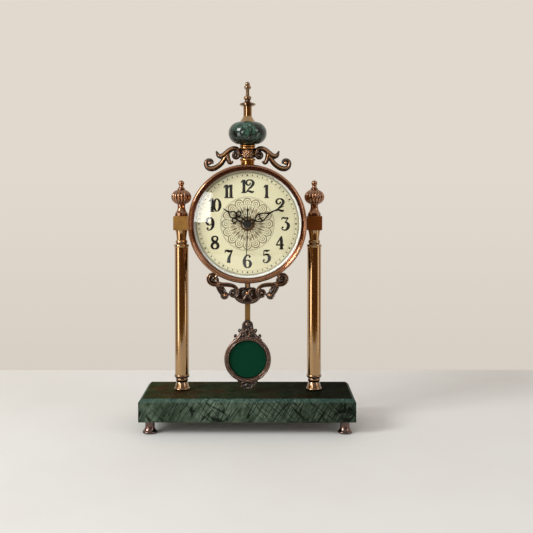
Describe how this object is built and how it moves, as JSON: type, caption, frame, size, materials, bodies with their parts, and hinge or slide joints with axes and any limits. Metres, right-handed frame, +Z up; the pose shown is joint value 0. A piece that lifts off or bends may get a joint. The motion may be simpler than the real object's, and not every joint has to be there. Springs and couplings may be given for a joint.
{
  "type": "desk pendulum clock",
  "caption": "Desk clock on a marble slab: brass columns hold a round head with scrolled crest and apron, and a pendulum swings below it.",
  "frame": {"origin": "on the surface that the feet stand on, below the middle of the slab", "axes": "+Z up, -Y the front that the dial faces, +X to the right seen from the front"},
  "size_m": [0.25, 0.09, 0.4079],
  "materials": {
    "green_marble": "polished",
    "antique_brass": "brushed, lacquered",
    "antique_copper": "burnished",
    "cast_bronze": "cast, dark patina in the recesses",
    "clear_glass": "polished",
    "bright_ring": "polished",
    "cream_dial": "satin",
    "black_hands": "satin",
    "green_insert": "satin",
    "steel": "zinc plated",
    "black_plastic": "fine texture",
    "gear_plastic": "moulded",
    "cell_wrap": "gloss",
    "copper_winding": "enamelled wire",
    "board_green": "solder mask"
  },
  "bodies": {
    "frame": {"apron_scroll": "cast_bronze", "back_cover": "black_plastic", "battery": "cell_wrap", "bezel": "antique_copper", "case_bolts": "steel", "case_drum": "antique_brass", "case_screws": "steel", "circuit_board": "board_green", "column_block_left": "antique_brass", "column_block_right": "antique_brass", "column_collar_left": "antique_brass", "column_collar_right": "antique_brass", "column_foot_left": "antique_brass", "column_foot_right": "antique_brass", "column_knob_left": "antique_copper", "column_knob_right": "antique_copper", "column_neck_left": "antique_copper", "column_neck_right": "antique_copper", "column_tie_rod_left": "steel", "column_tie_rod_right": "steel", "column_tube_left": "antique_brass", "column_tube_right": "antique_brass", "crest_collars": "antique_brass", "crest_rod": "steel", "crest_scroll": "cast_bronze", "dial": "cream_dial", "dial_ring": "bright_ring", "drive_coil": "copper_winding", "fluted_ball_left": "antique_copper", "fluted_ball_right": "antique_copper", "foot_back_left": "antique_brass", "foot_back_right": "antique_brass", "foot_front_left": "antique_brass", "foot_front_right": "antique_brass", "lens": "clear_glass", "marble_ball": "green_marble", "marble_base": "green_marble", "movement_case": "black_plastic", "movement_cover": "black_plastic", "rod_nuts": "steel", "rod_washers": "steel", "spire": "antique_copper", "spire_neck": "antique_brass", "stem_nut": "steel", "stepping_motor": "copper_winding"},
    "seconds": {"second_wheel": "gear_plastic", "second_hand": "black_hands"},
    "minutes": {"centre_wheel": "gear_plastic", "minute_hand": "black_hands"},
    "hours": {"hour_wheel": "gear_plastic", "hour_hand": "black_hands"},
    "third": {"third_wheel": "gear_plastic"},
    "intermediate": {"intermediate_wheel": "gear_plastic"},
    "rotor": {"rotor": "gear_plastic"},
    "motion": {"motion_wheel": "gear_plastic"},
    "setting": {"set_knob": "black_plastic"},
    "pendulum": {"pendulum_lever": "black_plastic", "pendulum_rod": "antique_brass", "bob_frame": "cast_bronze", "bob_insert": "green_insert"}
  },
  "joints": [
    {"name": "seconds_spin", "type": "hinge", "parent": "frame", "child": "seconds", "pos_m": [0, 0, 0.242], "axis": [0, 1, 0], "continuous": true},
    {"name": "minutes_spin", "type": "hinge", "parent": "frame", "child": "minutes", "pos_m": [0, 0, 0.242], "axis": [0, 1, 0], "continuous": true},
    {"name": "hours_spin", "type": "hinge", "parent": "frame", "child": "hours", "pos_m": [0, 0, 0.242], "axis": [0, 1, 0], "continuous": true},
    {"name": "third_spin", "type": "hinge", "parent": "frame", "child": "third", "pos_m": [-0.007, 0, 0.249], "axis": [0, 1, 0], "continuous": true},
    {"name": "intermediate_spin", "type": "hinge", "parent": "frame", "child": "intermediate", "pos_m": [0.00772, 0, 0.24848], "axis": [0, 1, 0], "continuous": true},
    {"name": "rotor_spin", "type": "hinge", "parent": "frame", "child": "rotor", "pos_m": [0.01594, 0, 0.25147], "axis": [0, 1, 0], "continuous": true},
    {"name": "motion_spin", "type": "hinge", "parent": "frame", "child": "motion", "pos_m": [0.00611, 0, 0.23978], "axis": [0, 1, 0], "continuous": true},
    {"name": "setting_spin", "type": "hinge", "parent": "frame", "child": "setting", "pos_m": [0.01252, 0, 0.23744], "axis": [0, 1, 0], "continuous": true},
    {"name": "pendulum_swing", "type": "hinge", "parent": "frame", "child": "pendulum", "pos_m": [0, 0, 0.209], "axis": [0, 1, 0], "range_deg": [-7, 7]}
  ],
  "couplings": [
    {"joint": "minutes_spin", "follows": "seconds_spin", "ratio": 0.016667},
    {"joint": "hours_spin", "follows": "seconds_spin", "ratio": 0.0013889},
    {"joint": "third_spin", "follows": "seconds_spin", "ratio": -0.125},
    {"joint": "intermediate_spin", "follows": "seconds_spin", "ratio": -5},
    {"joint": "rotor_spin", "follows": "seconds_spin", "ratio": 30},
    {"joint": "motion_spin", "follows": "seconds_spin", "ratio": -0.0055556},
    {"joint": "setting_spin", "follows": "seconds_spin", "ratio": 0.013889}
  ]
}
